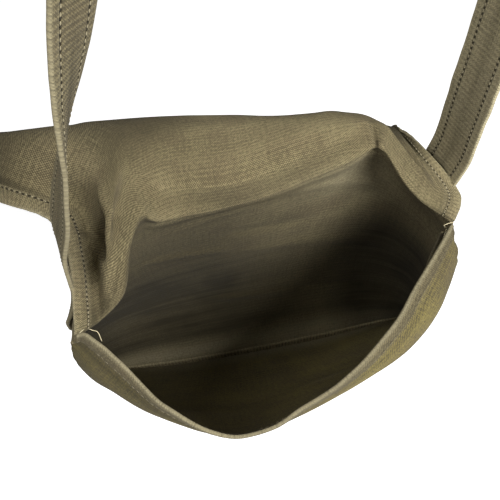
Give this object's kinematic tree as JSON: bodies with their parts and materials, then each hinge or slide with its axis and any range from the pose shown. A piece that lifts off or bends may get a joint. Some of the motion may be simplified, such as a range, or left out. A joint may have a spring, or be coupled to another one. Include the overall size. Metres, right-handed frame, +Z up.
{
  "type": "haversack",
  "caption": "Flat canvas haversack hanging open from its sewn shoulder strap, with the flap thrown back over the rear of the bag.",
  "frame": {"origin": "middle of the strap's inner face at the top of its arch, where it rests on a shoulder or a hook", "axes": "+X along the bag's mouth to the picture's right corner, +Y from the front panel to the back, +Z up along the hanging strap"},
  "size_m": [0.3975, 0.3005, 0.7226],
  "materials": {
    "canvas": "plain-woven olive cotton canvas, matt",
    "worn_canvas": "folded hems of the same canvas, paler where worn",
    "strap_canvas": "folded and stitched strap of the same canvas, matt"
  },
  "bodies": {
    "root": {"front_panel": "canvas", "mouth_hem": "worn_canvas", "back_panel_and_flap": "canvas", "flap_hem_left": "worn_canvas", "flap_hem_right": "worn_canvas", "flap_hem_end": "worn_canvas", "side_seam_left": "canvas", "side_seam_right": "canvas", "bottom_seam": "canvas", "shoulder_strap": "strap_canvas"}
  },
  "joints": []
}
